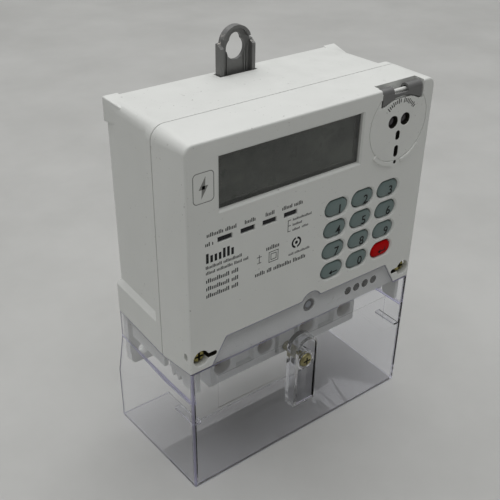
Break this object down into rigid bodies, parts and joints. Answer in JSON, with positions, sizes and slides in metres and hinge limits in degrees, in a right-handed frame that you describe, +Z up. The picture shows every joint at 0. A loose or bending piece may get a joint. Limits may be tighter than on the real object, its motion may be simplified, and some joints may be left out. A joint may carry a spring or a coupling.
{
  "type": "prepaid electricity meter",
  "caption": "Wall-mounted keypad electricity meter: two-part case, display window, rubber keys, optical port with flap, sliding hanger and clear terminal cover.",
  "frame": {"origin": "middle of the bounding box's base, on the surface that the meter stands on", "axes": "+X to the right of a person facing the keypad, +Y towards the wall behind the meter, +Z up"},
  "size_m": [0.1324, 0.0616, 0.1865],
  "materials": {
    "white_plastic": "fine-textured moulded plastic",
    "dark_plastic": "satin dark grey plastic",
    "clear_plastic": "clear moulded polycarbonate",
    "grey_rubber": "moulded silicone",
    "red_rubber": "moulded silicone",
    "smoked_window": "smoked clear plastic",
    "display_glass": "liquid crystal cell",
    "light_guide": "milky light guide",
    "black_plastic": "moulded plastic",
    "seal_rubber": "matt rubber",
    "brass": "passivated brass",
    "zinc_steel": "zinc plated steel",
    "copper": "plain copper",
    "circuit_board": "solder mask"
  },
  "bodies": {
    "meter": {"rear_case": "white_plastic", "front_cover": "white_plastic", "case_seal": "seal_rubber", "display_window": "smoked_window", "display_frame": "black_plastic", "display_glass": "display_glass", "display_backlight": "light_guide", "status_light_1": "smoked_window", "status_light_2": "smoked_window", "status_light_3": "smoked_window", "status_light_4": "smoked_window", "keypad_mat": "grey_rubber", "port_lens_left": "smoked_window", "port_lens_right": "smoked_window", "port_magnet_plate": "zinc_steel", "terminal_block": "white_plastic", "terminal_clamp_1": "brass", "terminal_clamp_2": "brass", "terminal_clamp_3": "brass", "terminal_clamp_4": "brass", "terminal_screw_1": "brass", "terminal_screw_2": "brass", "terminal_screw_3": "brass", "terminal_screw_4": "brass", "case_screw_left": "brass", "case_screw_right": "brass", "cover_switch": "black_plastic", "main_board": "circuit_board", "latching_relay": "black_plastic", "current_shunt": "copper", "buzzer": "black_plastic", "clock_battery": "zinc_steel", "supply_capacitor": "dark_plastic", "aux_terminals": "black_plastic"},
    "key_1": {"key_1": "grey_rubber"},
    "key_2": {"key_2": "grey_rubber"},
    "key_3": {"key_3": "grey_rubber"},
    "key_4": {"key_4": "grey_rubber"},
    "key_5": {"key_5": "grey_rubber"},
    "key_6": {"key_6": "grey_rubber"},
    "key_7": {"key_7": "grey_rubber"},
    "key_8": {"key_8": "grey_rubber"},
    "key_9": {"key_9": "grey_rubber"},
    "key_back": {"key_back": "grey_rubber"},
    "key_0": {"key_0": "grey_rubber"},
    "key_enter": {"key_enter": "red_rubber"},
    "cover_button": {"cover_button": "dark_plastic"},
    "port_flap": {"port_flap": "dark_plastic"},
    "hanger_tab": {"hanger_tab": "dark_plastic"},
    "terminal_cover": {"terminal_cover": "clear_plastic", "cover_screw": "brass"}
  },
  "joints": [
    {"name": "key_1_press", "type": "slide", "parent": "meter", "child": "key_1", "axis": [0, 1, 0], "range_m": [0, 0.0012], "stiffness_N_per_m": 500},
    {"name": "key_2_press", "type": "slide", "parent": "meter", "child": "key_2", "axis": [0, 1, 0], "range_m": [0, 0.0012], "stiffness_N_per_m": 500},
    {"name": "key_3_press", "type": "slide", "parent": "meter", "child": "key_3", "axis": [0, 1, 0], "range_m": [0, 0.0012], "stiffness_N_per_m": 500},
    {"name": "key_4_press", "type": "slide", "parent": "meter", "child": "key_4", "axis": [0, 1, 0], "range_m": [0, 0.0012], "stiffness_N_per_m": 500},
    {"name": "key_5_press", "type": "slide", "parent": "meter", "child": "key_5", "axis": [0, 1, 0], "range_m": [0, 0.0012], "stiffness_N_per_m": 500},
    {"name": "key_6_press", "type": "slide", "parent": "meter", "child": "key_6", "axis": [0, 1, 0], "range_m": [0, 0.0012], "stiffness_N_per_m": 500},
    {"name": "key_7_press", "type": "slide", "parent": "meter", "child": "key_7", "axis": [0, 1, 0], "range_m": [0, 0.0012], "stiffness_N_per_m": 500},
    {"name": "key_8_press", "type": "slide", "parent": "meter", "child": "key_8", "axis": [0, 1, 0], "range_m": [0, 0.0012], "stiffness_N_per_m": 500},
    {"name": "key_9_press", "type": "slide", "parent": "meter", "child": "key_9", "axis": [0, 1, 0], "range_m": [0, 0.0012], "stiffness_N_per_m": 500},
    {"name": "key_back_press", "type": "slide", "parent": "meter", "child": "key_back", "axis": [0, 1, 0], "range_m": [0, 0.0012], "stiffness_N_per_m": 500},
    {"name": "key_0_press", "type": "slide", "parent": "meter", "child": "key_0", "axis": [0, 1, 0], "range_m": [0, 0.0012], "stiffness_N_per_m": 500},
    {"name": "key_enter_press", "type": "slide", "parent": "meter", "child": "key_enter", "axis": [0, 1, 0], "range_m": [0, 0.0012], "stiffness_N_per_m": 500},
    {"name": "cover_button_press", "type": "slide", "parent": "meter", "child": "cover_button", "axis": [0, 1, 0], "range_m": [0, 0.001], "stiffness_N_per_m": 500},
    {"name": "port_flap_hinge", "type": "hinge", "parent": "meter", "child": "port_flap", "pos_m": [0.04495, -0.028, 0.1642], "axis": [-1, 0, 0], "range_deg": [0, 95]},
    {"name": "hanger_slide", "type": "slide", "parent": "meter", "child": "hanger_tab", "axis": [0, 0, -1], "range_m": [0, 0.024]},
    {"name": "terminal_cover_off", "type": "slide", "parent": "meter", "child": "terminal_cover", "axis": [0, -1, 0], "range_m": [0, 0.07]}
  ]
}
